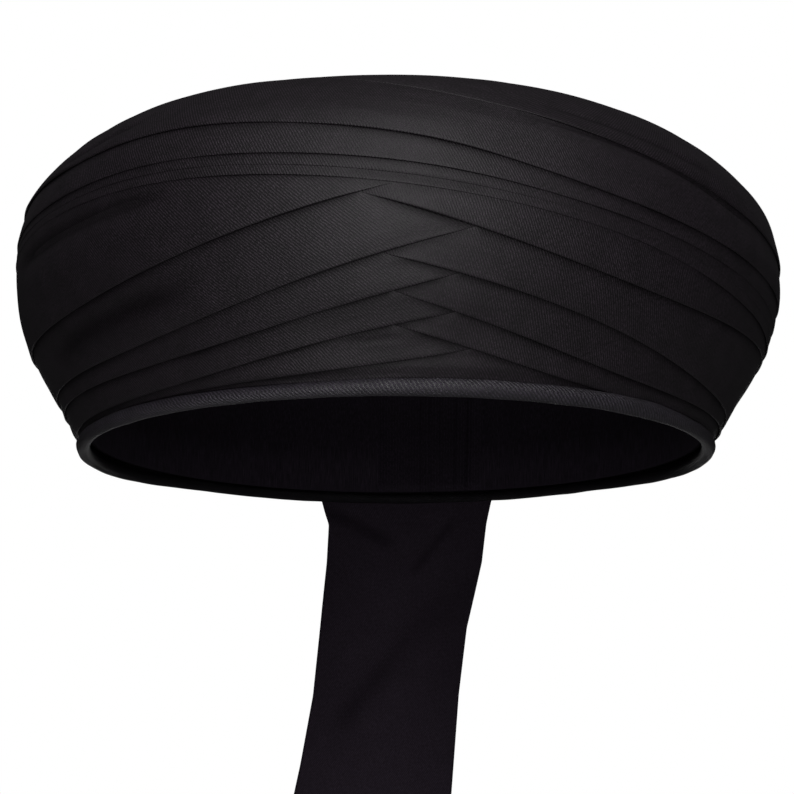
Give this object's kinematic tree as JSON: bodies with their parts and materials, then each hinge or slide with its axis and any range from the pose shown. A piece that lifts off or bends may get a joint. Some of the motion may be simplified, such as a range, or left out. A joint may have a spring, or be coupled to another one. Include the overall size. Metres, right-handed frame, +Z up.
{
  "type": "imamah",
  "caption": "Black wound turban with crossing folds at the front, a padded rim roll, an open head hollow and a cloth tail hanging behind.",
  "frame": {"origin": "middle of the head opening, in the plane of the rim's underside, where it sits on a head", "axes": "+Z up, -Y towards the front where the folds cross, +X towards the viewer's right"},
  "size_m": [0.2206, 0.2507, 0.1982],
  "materials": {
    "turn_cloth": "matt black twill with a faint sheen",
    "roll_cloth": "black twill over a padded roll, slightly lighter",
    "inner_cloth": "plain black cloth",
    "tail_cloth": "smooth black cloth"
  },
  "bodies": {
    "root": {"rim_roll": "roll_cloth", "cap_band": "inner_cloth", "cap_top": "inner_cloth", "inner_panel": "inner_cloth", "wound_core": "turn_cloth", "crown": "turn_cloth", "tail": "tail_cloth", "top_turn_1": "turn_cloth", "top_turn_2": "turn_cloth", "top_turn_3": "turn_cloth", "top_turn_4": "turn_cloth", "top_turn_5": "turn_cloth", "left_turn_1": "turn_cloth", "left_turn_2": "turn_cloth", "left_turn_3": "turn_cloth", "left_turn_4": "turn_cloth", "left_turn_5": "turn_cloth", "right_turn_1": "turn_cloth", "right_turn_2": "turn_cloth", "right_turn_3": "turn_cloth", "right_turn_4": "turn_cloth", "base_turn_front": "turn_cloth", "base_turn_back": "turn_cloth"}
  },
  "joints": []
}
